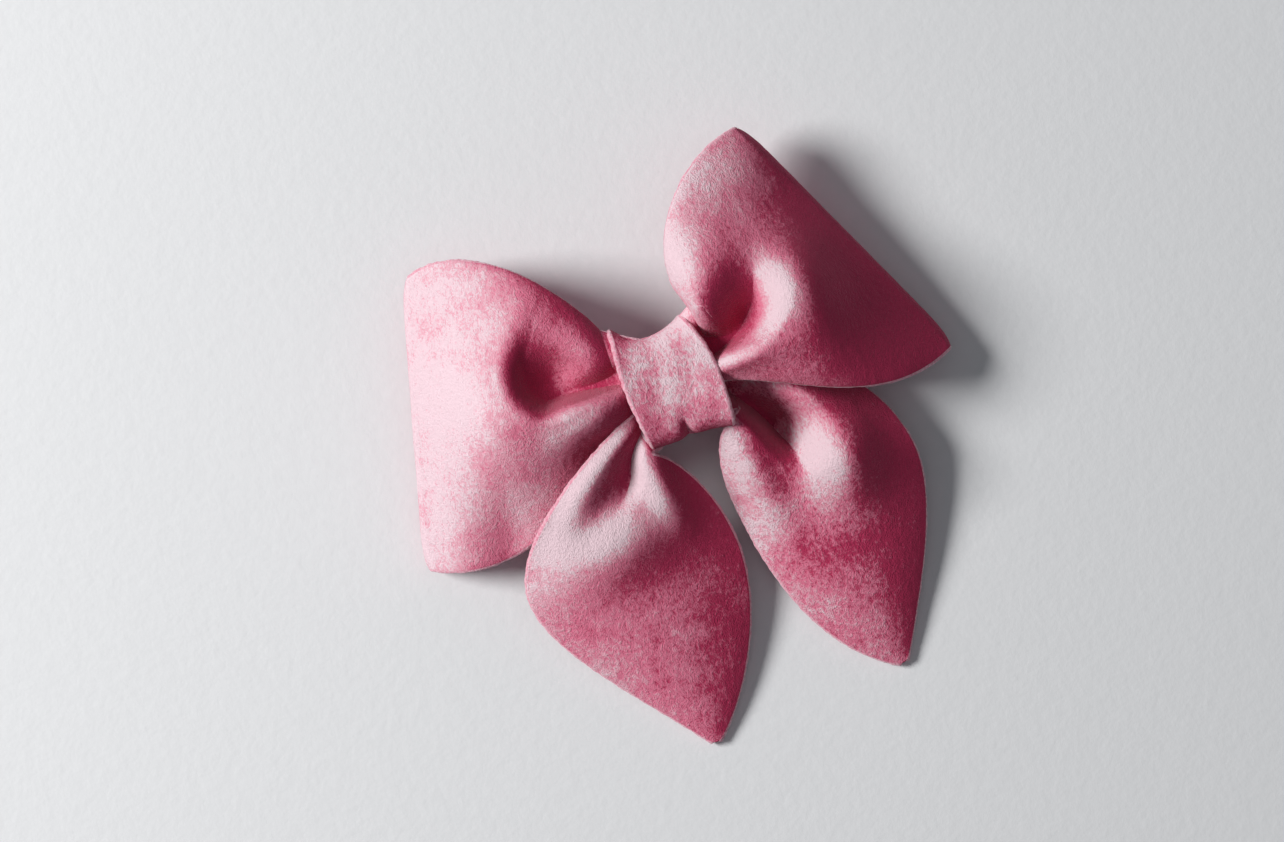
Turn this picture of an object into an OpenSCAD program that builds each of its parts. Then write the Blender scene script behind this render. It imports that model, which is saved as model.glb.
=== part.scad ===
// Velvet bow barrette: a folded loop band and a tail panel, pinched by a thread,
// held by a centre wrap on a sprung steel hair clip with a hinged clasp arm.
// Frame: X along the clip, Y towards the upper loop corners, Z out of the bow's face.
// Origin: the middle of the hair gap, between the clasp arm and the tension leaf.

/* [Bow] */
// Width of the bow over its two loops
bow_w = 114; // [96:1:136]
// Height of the bow from its tails' tips to its loops' corners
bow_h = 112; // [94:1:134]
// Height of the loops' outer folds over the surface that the barrette lies on
fold_z = 2.65; // [2.2:0.1:6]

/* [Velvet] */
// Thickness of the backed velvet sheet
velvet_t = 1.6; // [1.2:0.1:1.8]
// Distance between the two velvet layers at the outer fold of a loop
fold_gap = 3.4; // [2.6:0.2:4]
// Most height that a loop's face stands above its back
loop_puff = 8.5; // [6:0.5:10]
// Drop of a tail's two long edges below its crown
tail_crown = 5; // [3:0.5:6]
// Width of the centre wrap along the clip
wrap_w = 18; // [14:1:20]
// Thickness of the centre wrap
wrap_t = 1.3; // [1:0.1:1.6]
// Diameter of the gathering thread
thread_d = 0.5; // [0.3:0.1:0.6]
// Turns of the gathering thread
thread_turns = 4; // [2:1:6]

/* [Clip] */
// Length of the base plate over its two ends
base_len = 72; // [66:1:80]
// Width of the base plate
base_w = 9; // [8:0.5:11]
// Thickness of the base plate
base_t = 0.8; // [0.6:0.1:1]
// Rise of the base plate's arch over its flat end pads
base_rise = 4.6; // [3.8:0.2:5.2]
// Length of each flat end pad of the base plate
pad_len = 9.4; // [9:0.2:11]
// Radius of the hinge pin
pin_r = 0.6; // [0.5:0.05:0.7]
// Running clearance between the pin and the clasp arm's knuckle
pin_clear = 0.05; // [0.03:0.01:0.1]
// Width of the clasp arm
arm_w = 5.6; // [4.6:0.2:6]
// Thickness of the clasp arm
arm_t = 0.8; // [0.6:0.1:1]
// Rise of the clasp arm's arch
arm_rise = 1.7; // [1:0.1:2]
// Width of the tension leaf
leaf_w = 5; // [4:0.2:6]
// Thickness of the tension leaf
leaf_t = 0.35; // [0.3:0.05:0.5]
// Thickness of the latch strip and its two prongs
latch_t = 0.5; // [0.4:0.05:0.6]
// Width of a latch prong along the clip
prong_w = 4.4; // [3.6:0.2:4.8]
// How far a prong's catch stands out sideways
catch_out = 0.8; // [0.6:0.1:0.9]

/* [Hidden] */
$fn = 48;

velvet_colour = [0.85, 0.52, 0.62];
steel_colour = [0.75, 0.75, 0.78];
thread_colour = [0.9, 0.82, 0.84];
glue_colour = [0.9, 0.88, 0.8];

// Heights over the surface that the barrette lies on, before the whole is set on its origin
foot_z = 0;                         // hinge ears and prong tips
pad_z = 9.4;                        // underside of the base plate's end pads
crest_z = pad_z + base_rise;        // underside of the base plate at mid-length
base_top = crest_z + base_t;
base_half = base_len / 2 - pad_len; // half the arched stretch of the base plate
slit = 0.1;                         // gap between faces that only touch

arm_z = 2.9;                        // underside of the clasp arm's window plate
function arch_radius(half, rise) = (half * half + rise * rise) / (2 * rise);
function arch_dip(x) = x * x / (2 * arch_radius(base_half, base_rise)); // its fall from the crest
wrap_under = crest_z - arch_dip(wrap_w / 2) - slit; // inside of the wrap below the base plate

// Pin, leaf and latch stations along the clip
pin_x = -base_len / 2 + 3;
pin_z = 2.4;
knuckle_r = pin_r + pin_clear + 0.85;
strip_z = pin_z + knuckle_r - arm_t; // underside of the clasp arm's strip at its ends
lug_x = pin_x + 1.4;                // where the tension leaf's lugs sit in the ears
lug_z = 6.9;
lug_bottom = lug_z - leaf_t / 2;
leaf_tip = base_len / 2 - 8.6;
shelf_z = 6.2;                      // underside of the latch shelf that stops the leaf's tip
tip_z = shelf_z + latch_t + slit;
flex_room = 1.5;                    // from the leaf's crest up to the wrap
leaf_rise = wrap_under - wrap_t - flex_room - leaf_t - (lug_bottom + tip_z) / 2;
grip_z = (strip_z + arm_rise + arm_t + (lug_bottom + tip_z) / 2 + leaf_rise) / 2; // the origin

// ---------- shared curves and shells ----------

function mix(a, b, k) = a + (b - a) * k;
function clamp01(k) = min(1, max(0, k));
function bezier(p, k) = let (m = 1 - k)
    m*m*m * p[0] + 3*m*m*k * p[1] + 3*m*k*k * p[2] + k*k*k * p[3];
function unit(v) = v / norm(v);

// Normal of a grid of points at row i, column j, by central differences
function grid_normal(g, i, j, ring) =
    let (n = len(g), m = len(g[0]) - 1,
         before = ring ? (i + n - 1) % n : max(0, i - 1),
         after = ring ? (i + 1) % n : min(n - 1, i + 1),
         along = g[after][j] - g[before][j],
         across = g[i][min(m, j + 1)] - g[i][max(0, j - 1)])
    unit(cross(along, across));

// A sheet of thickness t[i] about a grid of mid-surface points; ring joins its last row to its first
module sheet(g, t, ring = false) {
    n = len(g);
    m = len(g[0]);
    sides = [for (s = [0.5, -0.5], i = [0 : n - 1], j = [0 : m - 1])
        g[i][j] + s * t[i] * grid_normal(g, i, j, ring)];
    rows = ring ? n : n - 1;
    function at(s, i, j) = s * n * m + (i % n) * m + j;
    faces = concat(
        [for (i = [0 : rows - 1], j = [0 : m - 2]) [at(0, i, j), at(0, i, j + 1), at(0, i + 1, j)]],
        [for (i = [0 : rows - 1], j = [0 : m - 2]) [at(0, i, j + 1), at(0, i + 1, j + 1), at(0, i + 1, j)]],
        [for (i = [0 : rows - 1], j = [0 : m - 2]) [at(1, i, j), at(1, i + 1, j), at(1, i, j + 1)]],
        [for (i = [0 : rows - 1], j = [0 : m - 2]) [at(1, i, j + 1), at(1, i + 1, j), at(1, i + 1, j + 1)]],
        [for (i = [0 : rows - 1]) [at(0, i, 0), at(0, i + 1, 0), at(1, i, 0)]],
        [for (i = [0 : rows - 1]) [at(0, i + 1, 0), at(1, i + 1, 0), at(1, i, 0)]],
        [for (i = [0 : rows - 1]) [at(0, i, m - 1), at(1, i, m - 1), at(0, i + 1, m - 1)]],
        [for (i = [0 : rows - 1]) [at(0, i + 1, m - 1), at(1, i, m - 1), at(1, i + 1, m - 1)]],
        ring ? [] : [for (j = [0 : m - 2]) [at(0, 0, j), at(1, 0, j), at(0, 0, j + 1)]],
        ring ? [] : [for (j = [0 : m - 2]) [at(0, 0, j + 1), at(1, 0, j), at(1, 0, j + 1)]],
        ring ? [] : [for (j = [0 : m - 2]) [at(0, n - 1, j), at(0, n - 1, j + 1), at(1, n - 1, j)]],
        ring ? [] : [for (j = [0 : m - 2]) [at(0, n - 1, j + 1), at(1, n - 1, j + 1), at(1, n - 1, j)]]);
    polyhedron(points = sides, faces = [for (f = faces) [f[0], f[2], f[1]]], convexity = 6);
}

// An arched strip between two x positions, its ends at height end_z and its middle rise higher;
// deep carries it further in towards the arch's centre
module arch(x0, x1, end_z, rise, width, thick, deep = 0) {
    half = (x1 - x0) / 2;
    radius = arch_radius(half, rise);
    swing = asin(half / radius);
    translate([(x0 + x1) / 2, 0, end_z + rise - radius]) rotate([90, 0, 0])
        rotate([0, 0, 90 - swing]) rotate_extrude(angle = 2 * swing, $fn = 180)
            translate([radius - deep, -width / 2]) square([thick + deep, width]);
}

// A plate in XY with round corners, its lowest corner at the origin
module round_plate(len_x, len_y, thick, r) {
    translate([r, 0, 0]) cube([len_x - 2 * r, len_y, thick]);
    translate([0, r, 0]) cube([len_x, len_y - 2 * r, thick]);
    for (x = [r, len_x - r], y = [r, len_y - r]) translate([x, y, 0]) cylinder(r = r, h = thick);
}

module on_grip() { translate([0, 0, -grip_z]) children(); }

// ---------- the velvet bow ----------

// The neck is the stretch under the centre wrap, from the thread out to the wrap's edge
neck_x = wrap_w / 2 + 0.8;
neck_steps = 3;
loop_steps = 12;
fold_steps = 4;
tail_steps = 9;
width_steps = 10;

// Free points of the outlines below are for a bow of this size, and are stretched to bow_w and bow_h
drawn_w = 114;
drawn_h = 112;
function stretched_x(x) = let (free = (bow_w / 2 - neck_x) / (drawn_w / 2 - neck_x))
    abs(x) > neck_x ? sign(x) * (neck_x + (abs(x) - neck_x) * free) : x;
kept_y = 13;                        // the wrap's own height isn't stretched
function stretched_y(y) = let (free = (bow_h - 2 * kept_y) / (drawn_h - 2 * kept_y))
    abs(y) > kept_y ? sign(y) * (kept_y + (abs(y) - kept_y) * free) : y;
function stretched(p) = [stretched_x(p[0]), stretched_y(p[1])];
function from_neck(c) = [c[0], stretched(c[1]), stretched(c[2]), stretched(c[3])];
function free_curve(c) = [for (p = c) stretched(p)];

function straight(a, b) = [a, mix(a, b, 1/3), mix(a, b, 2/3), b];
// Point at s on a chain of curves, where the whole part of s picks the curve
function chain(curves, s) = let (i = min(len(curves) - 1, floor(s))) bezier(curves[i], s - i);
function opened(side, waist_y, neck_y) = straight([0, waist_y], [side * neck_x, neck_y]);

loop_waist = [-1.4, 6.4];           // lower and upper edge in Y at the thread
loop_neck = [-2.4, 9.6];            // and at the wrap's edge
tail_waist = [-7.4, -2.4];
tail_neck = [-9.9, -4.2];

// Long edges of each loop from the waist to the fold: [lower, upper]
left_loop = [[opened(-1, loop_waist[0], loop_neck[0]),
              from_neck([[-neck_x, loop_neck[0]], [-24, -8], [-40, -22], [-56.8, -16.2]])],
             [opened(-1, loop_waist[1], loop_neck[1]),
              from_neck([[-neck_x, loop_neck[1]], [-15, 29], [-24, 45], [-38, 40.2]])]];
right_loop = [[opened(1, loop_waist[0], loop_neck[0]),
               from_neck([[neck_x, loop_neck[0]], [22, -7.5], [36, -22], [52.2, -15.4]])],
              [opened(1, loop_waist[1], loop_neck[1]),
               from_neck([[neck_x, loop_neck[1]], [9.4, 25], [14, 39], [30.6, 40.4]])]];

// Long edges of each tail from the waist to the tip: [inner, outer]
left_tail = [[opened(-1, tail_waist[0], tail_neck[0]),
              from_neck([[-neck_x, tail_neck[0]], [-10.5, -17], [-1, -23], [-0.8, -34]]),
              free_curve([[-0.8, -34], [-0.6, -46], [-8.5, -61], [-19.4, -70.4]])],
             [opened(-1, tail_waist[1], tail_neck[1]),
              from_neck([[-neck_x, tail_neck[1]], [-24, -10], [-42.5, -19], [-42.8, -30]]),
              free_curve([[-42.8, -30], [-43, -42], [-28, -58], [-20.6, -70.2]])]];
right_tail = [[opened(1, tail_waist[0], tail_neck[0]),
               from_neck([[neck_x, tail_neck[0]], [10.3, -15.5], [1.8, -16], [2.6, -28]]),
               free_curve([[2.6, -28], [3, -46], [8, -62], [20.4, -70.4]])],
              [opened(1, tail_waist[1], tail_neck[1]),
               from_neck([[neck_x, tail_neck[1]], [22, -10], [38.4, -18], [39.2, -31]]),
               free_curve([[39.2, -31], [39.5, -43], [29, -58], [21.6, -70.2]])]];

// Velvet is thicker where its pleats are pressed together under the thread
pleat_extra = 1.3;
function pleated(x) = velvet_t + pleat_extra * exp(-pow(x / 4.5, 2));

// Mid-surface of a loop: its back layer, and the gap from there up to its face
thread_layer = 0.8 * thread_d;
bundle_clear = 0.35;                // from the thread to the velvet that it gathers
waist_low = base_top + slit + thread_layer;
back_z = waist_low + bundle_clear + (velvet_t + pleat_extra) / 2;
clip_clear = 0.65;                  // from the base plate's end pads to the loops' backs
over_clip = pad_z + base_t + velvet_t / 2 + clip_clear;
side_sag = 0.0012;
// The back bows down to just over the clip's ends and from there to the fold
function back_line(x) = let (
    half = base_len / 2,
    slope = 2 * (back_z - over_clip) / half,
    past = bow_w / 2 - half,
    bend = (over_clip - slope * past - fold_z - velvet_t / 2) / (past * past),
    d = x - half)
    d < 0 ? back_z - (back_z - over_clip) * x * x / (half * half)
          : over_clip - slope * d - bend * d * d;
function loop_back(p) = back_line(abs(p[0])) - side_sag * p[1] * p[1];
waist_gap = velvet_t + pleat_extra + 0.3;
mouth_share = 0.5;                  // a loop's two open mouths stand this much as high as its middle
neck_gap = waist_gap + 2.4;
function loop_gap(s, v) = let (
    k = clamp01(s - 1),
    neck = mix(waist_gap, neck_gap * (1 - 0.4 * pow(2 * v - 1, 2)), clamp01(s)),
    belly = sin(180 * k) * (mouth_share + (1 - mouth_share) * pow(sin(180 * v), 0.7)))
    mix(neck, fold_gap, k) + loop_puff * belly;

// One row of points across a loop at s along its edges, on the back (lift 0) or the face (lift 1);
// reach pushes a row of the fold outwards by a share of half the gap
function loop_row(edges, s, lift, reach = 0) = [for (j = [0 : width_steps]) let (
    v = j / width_steps,
    flat = mix(chain(edges[0], s), chain(edges[1], s), v),
    run = chain(edges[1], 2) - chain(edges[0], 2),
    away = unit([run[1], -run[0]]) * sign(edges[0][1][3][0]),
    gap = loop_gap(s, v),
    p = flat + away * reach * gap / 2)
    [p[0], p[1], loop_back(flat) + lift * gap]];

loop_stations = concat([for (i = [1 : neck_steps]) i / neck_steps],
                       [for (i = [1 : loop_steps]) 1 + i / loop_steps]);
function backwards(rows) = [for (i = [len(rows) - 1 : -1 : 0]) rows[i]];
function loop_side(edges) = concat(
    [for (s = loop_stations) loop_row(edges, s, 1)],
    [for (i = [1 : fold_steps - 1]) let (turn = 90 - 180 * i / fold_steps)
        loop_row(edges, 2, (1 + sin(turn)) / 2, cos(turn))],
    [for (s = backwards(loop_stations)) loop_row(edges, s, 0)]);

module loop_band() {
    rows = concat([loop_row(right_loop, 0, 1)], loop_side(right_loop),
                  [loop_row(right_loop, 0, 0)], backwards(loop_side(left_loop)));
    color(velvet_colour) on_grip()
        sheet(rows, [for (r = rows) pleated(r[0][0])], ring = true);
}

// Mid-surface of a tail: level at the neck, crowned along its middle, down to the resting tip
tail_top = back_z + 0.3;
tail_tip = foot_z + velvet_t / 2 + 0.15;
tail_arch = 3;
function tail_height(s, v) = let (k = clamp01((s - 1) / 2))
    mix(tail_top, tail_tip, pow(k, 1.15)) + tail_arch * sin(180 * pow(k, 0.7))
    - tail_crown * sin(180 * k) * pow(2 * v - 1, 2);
function tail_row(edges, s) = [for (j = [0 : width_steps]) let (
    v = j / width_steps,
    p = mix(chain(edges[0], s), chain(edges[1], s), v))
    [p[0], p[1], tail_height(s, v)]];
tail_stations = concat([for (i = [1 : neck_steps]) i / neck_steps],
                       [for (i = [1 : 2 * tail_steps]) 1 + i / tail_steps]);

module tail_panel() {
    rows = concat([for (s = backwards(tail_stations)) tail_row(left_tail, s)],
                  [tail_row(right_tail, 0)],
                  [for (s = tail_stations) tail_row(right_tail, s)]);
    steps = concat(backwards(tail_stations), [0], tail_stations);
    color(velvet_colour) on_grip() sheet(rows, [for (s = steps) pleated(s * neck_x)]);
}

// Outline in YZ of the gathered waist, grown by a margin
module waist_outline(grow) {
    r = 1.2;
    low = waist_low + r;
    high = back_z + waist_gap + (velvet_t + pleat_extra) / 2 + bundle_clear - r;
    hull() {
        for (z = [low, high]) translate([loop_waist[1] - 0.2, z]) circle(r = r + grow, $fn = 32);
        translate([loop_waist[0] - 0.6, high]) circle(r = r + grow, $fn = 32);
        for (z = [low, tail_top + 0.8]) translate([tail_waist[0] + 0.4, z])
            circle(r = r + grow, $fn = 32);
    }
}

module gather_thread() {
    pitch = thread_d + 0.2;
    color(thread_colour) on_grip()
        for (i = [0 : thread_turns - 1])
            translate([(i - (thread_turns - 1) / 2) * pitch - thread_d / 2, 0, 0])
                rotate([90, 0, 90]) linear_extrude(height = thread_d) difference() {
                    waist_outline(thread_layer);
                    waist_outline(0);
                }
}

// Outline in YZ of the wrap's hollow: round the gathered neck and under the base plate
shoulder_r = 4.4;
flank_r = 2.6;
heel_r = 1;
module wrap_outline(grow) {
    top = back_z + neck_gap + velvet_t / 2 + slit;
    sides = [tail_neck[0] - 0.95, loop_neck[1] + 0.75];
    hull() {
        for (y = [sides[0] + shoulder_r, sides[1] - shoulder_r])
            translate([y, top - shoulder_r]) circle(r = shoulder_r + grow, $fn = 40);
        for (y = [sides[0] + flank_r, sides[1] - flank_r])
            translate([y, back_z + 0.3]) circle(r = flank_r + grow, $fn = 32);
        for (side = [-1, 1]) translate([side * (base_w / 2 - 0.2), wrap_under + heel_r])
            circle(r = heel_r + grow, $fn = 32);
    }
}

module centre_wrap() {
    color(velvet_colour) on_grip()
        translate([-wrap_w / 2, 0, 0]) rotate([90, 0, 90]) linear_extrude(height = wrap_w)
            difference() {
                wrap_outline(wrap_t);
                wrap_outline(0);
            }
}

// Glue between the wrap and the base plate's underside
glue_len = 8;
module wrap_glue() {
    color(glue_colour) on_grip()
        translate([-glue_len / 2, -base_w / 4, wrap_under])
            cube([glue_len, base_w / 2, crest_z - arch_dip(glue_len / 2) - slit / 2 - wrap_under]);
}

// Glue pads that bond the loops' backs to the arched top of the base plate
pad_x = (wrap_w / 2 + base_half) / 2;
pad_d = 7;
module glue_pads() {
    top = loop_back([pad_x + pad_d / 2, pad_d / 2]) - velvet_t / 2 - 0.2;
    color(glue_colour) on_grip()
        difference() {
            for (side = [-1, 1]) translate([side * pad_x, 0, top - 4]) cylinder(d = pad_d, h = 4);
            arch(-base_half, base_half, pad_z, base_rise, base_w, base_t, deep = 6);
        }
}

// ---------- the steel clip ----------

ear_t = 0.8;
ear_gap = base_w - 2 * ear_t;       // inside distance between the two ears
window_x = base_len / 2 - 3.8;      // middle of the latch window
arm_end = base_len / 2 + 0.2;

module base_arch() {
    arch(-base_half, base_half, pad_z, base_rise, base_w, base_t);
}

// One ear: a side plate bent down from the base plate, with the pin hole and the lug slot
module ear() {
    rotate([90, 0, 0]) difference() {
        translate([0, 0, -ear_t / 2]) linear_extrude(height = ear_t)
            polygon([[pin_x - 2.6, pad_z + base_t / 2], [pin_x - 1.9, foot_z], [pin_x + 1.9, foot_z],
                     [pin_x + 3.2, pad_z - 3], [pin_x + 3.2, pad_z + base_t / 2]]);
        translate([pin_x, pin_z, -ear_t]) cylinder(r = pin_r, h = 2 * ear_t);
        translate([lug_x, lug_z, 0]) cube([2.1, leaf_t + 0.35, 2 * ear_t], center = true);
    }
}

module clip_base() {
    color(steel_colour) on_grip() {
        base_arch();
        difference() {
            union() {
                translate([-base_len / 2, -base_w / 2, pad_z])
                    round_plate(pad_len + 0.3, base_w, base_t, 1);
                translate([base_len / 2 - pad_len - 0.3, -base_w / 2, pad_z])
                    round_plate(pad_len + 0.3, base_w, base_t, 1);
            }
            for (x = rivet_xs) translate([x, 0, pad_z - 1]) cylinder(r = rivet_r, h = 3);
        }
        for (side = [-1, 1]) translate([0, side * (base_w - ear_t) / 2, 0]) ear();
    }
}

module hinge_pin() {
    head_t = 0.4;
    reach = base_w / 2;
    color(steel_colour) on_grip() translate([pin_x, 0, pin_z]) rotate([90, 0, 0]) {
        cylinder(r = pin_r, h = 2 * reach, center = true);
        for (side = [-1, 1]) translate([0, 0, side * (reach + head_t / 2)])
            cylinder(r = pin_r + 0.45, h = head_t, center = true);
    }
}

// Clasp arm: a knuckle on the pin, an arched strip and a plate with the latch window
window_len = prong_w + 1;
prong_y = 2.25;                     // mid-plane of a prong, from the clip's middle line
window_w = 2 * (prong_y + latch_t / 2 + 0.4);
module clasp_arm() {
    plate_len = window_len + 3.2;
    plate_w = window_w + 2.6;
    color(steel_colour) on_grip() difference() {
        union() {
            translate([pin_x, 0, pin_z]) rotate([90, 0, 0])
                cylinder(r = knuckle_r, h = ear_gap - 0.6, center = true);
            translate([pin_x, -arm_w / 2, strip_z]) cube([2.6, arm_w, arm_t]);
            arch(pin_x + 2.2, arm_end - plate_len + 0.6, strip_z, arm_rise, arm_w, arm_t);
            translate([arm_end - plate_len, -plate_w / 2, arm_z])
                round_plate(plate_len, plate_w, arm_t, 1.2);
        }
        translate([pin_x, 0, pin_z]) rotate([90, 0, 0])
            cylinder(r = pin_r + pin_clear, h = base_w, center = true);
        translate([window_x - window_len / 2, -window_w / 2, arm_z - 1])
            cube([window_len, window_w, arm_t + 2]);
    }
}

// Tension leaf: cross lugs in the ears, an arched strip and a free tip that lies on the latch shelf
module tension_leaf() {
    rake = atan((tip_z - lug_bottom) / (leaf_tip - lug_x));
    span = norm([leaf_tip - lug_x, tip_z - lug_bottom]);
    color(steel_colour) on_grip() {
        translate([lug_x, 0, lug_bottom]) rotate([0, -rake, 0])
            arch(0.4, span, 0, leaf_rise, leaf_w, leaf_t);
        translate([lug_x - 0.8, -base_w / 2 - 0.1, lug_bottom]) cube([1.6, base_w + 0.2, leaf_t]);
    }
}

// Latch: a strip riveted under the end pad, with a shelf that stops the leaf's tip
rivet_r = 0.7;
rivet_xs = [window_x - 1.2, window_x + 1.2];
module latch_foot() {
    foot_w = 2 * (prong_y + latch_t / 2);
    shelf_x = leaf_tip - 1.8;
    wall_x = leaf_tip + 0.9;
    color(steel_colour) on_grip() {
        difference() {
            translate([wall_x, -foot_w / 2, pad_z - latch_t])
                cube([window_x + prong_w / 2 - wall_x, foot_w, latch_t]);
            for (x = rivet_xs) translate([x, 0, pad_z - 2]) cylinder(r = rivet_r, h = 3);
        }
        translate([wall_x, -1.5, shelf_z]) cube([latch_t, 3, pad_z - shelf_z]);
        translate([shelf_x, -1.5, shelf_z]) cube([wall_x - shelf_x + latch_t, 3, latch_t]);
    }
}

module latch_rivets() {
    color(steel_colour) on_grip()
        for (x = rivet_xs) translate([x, 0, 0]) {
            translate([0, 0, pad_z - latch_t - 0.35]) cylinder(r = rivet_r + 0.4, h = 0.35);
            translate([0, 0, pad_z - latch_t - 0.1]) cylinder(r = rivet_r, h = latch_t + base_t + 0.1);
        }
}

// A prong hangs from a round bend at its top and has a catch under the clasp arm and a finger tab
bend_z = pad_z - latch_t - latch_t / 2 - 0.02;
module prong(side) {
    catch_z = arm_z - slit;
    outer = prong_y + latch_t / 2;
    color(steel_colour) on_grip() {
        translate([window_x, side * prong_y, bend_z]) rotate([0, 90, 0])
            cylinder(r = latch_t / 2, h = prong_w, center = true);
        translate([window_x - prong_w / 2, side * prong_y - latch_t / 2, foot_z + 1.2])
            cube([prong_w, latch_t, bend_z - foot_z - 1.2]);
        translate([window_x - prong_w / 2 + 0.7, side * prong_y - latch_t / 2, foot_z])
            cube([prong_w - 1.4, latch_t, 2]);
        translate([window_x + prong_w / 4, 0, 0]) rotate([0, -90, 0]) linear_extrude(height = prong_w / 2)
            polygon([[catch_z - 1.3, side * (outer - 0.1)], [catch_z - 0.2, side * (outer + catch_out)],
                     [catch_z, side * (outer + catch_out)], [catch_z, side * (outer - 0.1)]]);
    }
}

module prong_upper() { prong(1); }
module prong_lower() { prong(-1); }

loop_band();
tail_panel();
centre_wrap();
gather_thread();
glue_pads();
wrap_glue();
clip_base();
hinge_pin();
clasp_arm();
tension_leaf();
latch_foot();
latch_rivets();
prong_upper();
prong_lower();
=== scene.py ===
"""A velvet sailor-bow barrette: two loops, two tails and a centre wrap on a sprung steel clip.

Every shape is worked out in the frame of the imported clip: X along the clip, Y up the bow, Z out of
its face. Outlines are in millimetres in that frame, and heights are counted from the surface that
the barrette lies on.
"""
import math
import bmesh
import bpy
import numpy as np
from mathutils import Matrix, Vector


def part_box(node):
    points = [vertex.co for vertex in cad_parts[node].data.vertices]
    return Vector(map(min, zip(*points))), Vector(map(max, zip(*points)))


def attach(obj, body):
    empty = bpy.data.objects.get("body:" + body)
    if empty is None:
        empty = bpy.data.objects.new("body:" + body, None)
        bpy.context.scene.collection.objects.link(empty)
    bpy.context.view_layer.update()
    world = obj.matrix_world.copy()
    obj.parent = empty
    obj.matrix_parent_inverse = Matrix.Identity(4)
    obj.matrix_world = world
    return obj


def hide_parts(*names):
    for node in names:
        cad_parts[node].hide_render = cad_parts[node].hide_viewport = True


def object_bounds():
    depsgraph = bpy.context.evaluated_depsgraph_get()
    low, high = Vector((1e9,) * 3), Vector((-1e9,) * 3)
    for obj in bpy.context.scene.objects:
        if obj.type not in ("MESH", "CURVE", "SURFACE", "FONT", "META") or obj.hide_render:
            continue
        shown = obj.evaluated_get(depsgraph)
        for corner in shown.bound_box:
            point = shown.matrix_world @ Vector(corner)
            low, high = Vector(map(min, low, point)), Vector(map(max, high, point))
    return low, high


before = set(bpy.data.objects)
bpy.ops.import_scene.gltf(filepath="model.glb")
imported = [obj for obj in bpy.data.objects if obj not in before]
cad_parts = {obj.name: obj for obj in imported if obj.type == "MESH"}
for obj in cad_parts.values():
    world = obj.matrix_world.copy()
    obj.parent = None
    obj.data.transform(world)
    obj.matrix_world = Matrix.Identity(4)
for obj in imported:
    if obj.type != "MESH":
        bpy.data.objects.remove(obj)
cad_box = [list(map(float, corner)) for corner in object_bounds()]

MM = 0.001
FLOOR = cad_box[0][2] / MM                     # the surface, in the frame's millimetres
CLIP_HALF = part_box("clip_base")[1][0] / MM     # half the clip's length
CLIP_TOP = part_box("clip_base")[1][2] / MM      # the crest of its arched base plate
WRAP_LOW, WRAP_HIGH = (np.array(corner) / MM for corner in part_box("centre_wrap"))

PILE = 1.6                     # thickness of the backed velvet
WRAP_THICK = 1.3               # thickness of the wrap's thinner velvet
NECK = WRAP_HIGH[0] + 0.8      # half the length of the gathered neck, which the wrap hides
EDGE_STEPS = 5                 # rows of points round a cut edge
SPINE_STEPS = 161              # places looked at along a line for the one nearest to a point


# ---------------------------------------------------------------- curves and fields

def clamp(value, low=0.0, high=1.0):
    """A value held between low and high."""
    return np.minimum(np.maximum(value, low), high)


def ease(low, high, value):
    """A smooth step from 0 at low to 1 at high."""
    k = clamp((value - low) / (high - low))
    return k * k * (3 - 2 * k)


def bend_through(points, k):
    """The point at share k, from 0 to 1, of a cubic curve pulled by four points."""
    k = np.asarray(k, float)[..., None]
    a, b, c, d = (np.asarray(p, float) for p in points)
    m = 1 - k
    return m**3 * a + 3 * m * m * k * b + 3 * m * k * k * c + k**3 * d


def threaded(points, k):
    """The point at share k of a smooth line that passes through every given point: between two of
    them it is a cubic whose slope at each is that of the line joining its neighbours."""
    p = np.asarray(points, float)
    p = np.vstack([2 * p[0] - p[1], p, 2 * p[-1] - p[-2]])
    t = clamp(np.asarray(k, float) * (len(p) - 3), 0, len(p) - 3 - 1e-9)
    i = t.astype(int)
    t = (t - i)[..., None]
    a, b, c, d = p[i], p[i + 1], p[i + 2], p[i + 3]
    return 0.5 * (2 * b + (c - a) * t + (2 * a - 5 * b + 4 * c - d) * t**2
                  + (3 * b - a - 3 * c + d) * t**3)


def smooth_max(a, b, soft):
    """The larger of two heights, with the corner between them rounded over."""
    return (a + b + np.sqrt((a - b) ** 2 + soft * soft)) / 2


def chained(curves, s):
    """The point at s on a chain of cubic curves, where the whole part of s picks the curve."""
    s = np.asarray(s, float)
    out = np.zeros(s.shape + (len(curves[0][0]),))
    for i, points in enumerate(curves):
        last = i == len(curves) - 1
        here = (s >= i) & ((s < i + 1) | last)
        out[here] = bend_through(points, s[here] - i)
    return out


def lattice(cells, seed):
    """A repeatable random number from 0 to 1 for each whole-number cell."""
    n = cells.astype(np.int64)
    h = n[..., 0] * 374761393 + n[..., 1] * 668265263 + n[..., 2] * 2147483647 + seed * 974634777
    h = (h ^ (h >> 13)) * 1274126177
    h = h ^ (h >> 16)
    return (h & 0xFFFFFF) / float(0xFFFFFF)


def mottle(points, size, seed):
    """Smooth noise from -1 to 1: random lattice values blended by an eased trilinear mix."""
    p = points / np.asarray(size, float)
    base = np.floor(p)
    f = p - base
    f = f * f * (3 - 2 * f)
    total = 0.0
    for dx in (0, 1):
        for dy in (0, 1):
            for dz in (0, 1):
                corner = lattice(base + np.array([dx, dy, dz]), seed)
                share = (f[..., 0] if dx else 1 - f[..., 0]) \
                    * (f[..., 1] if dy else 1 - f[..., 1]) \
                    * (f[..., 2] if dz else 1 - f[..., 2])
                total = total + corner * share
    return 2 * total - 1


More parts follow.
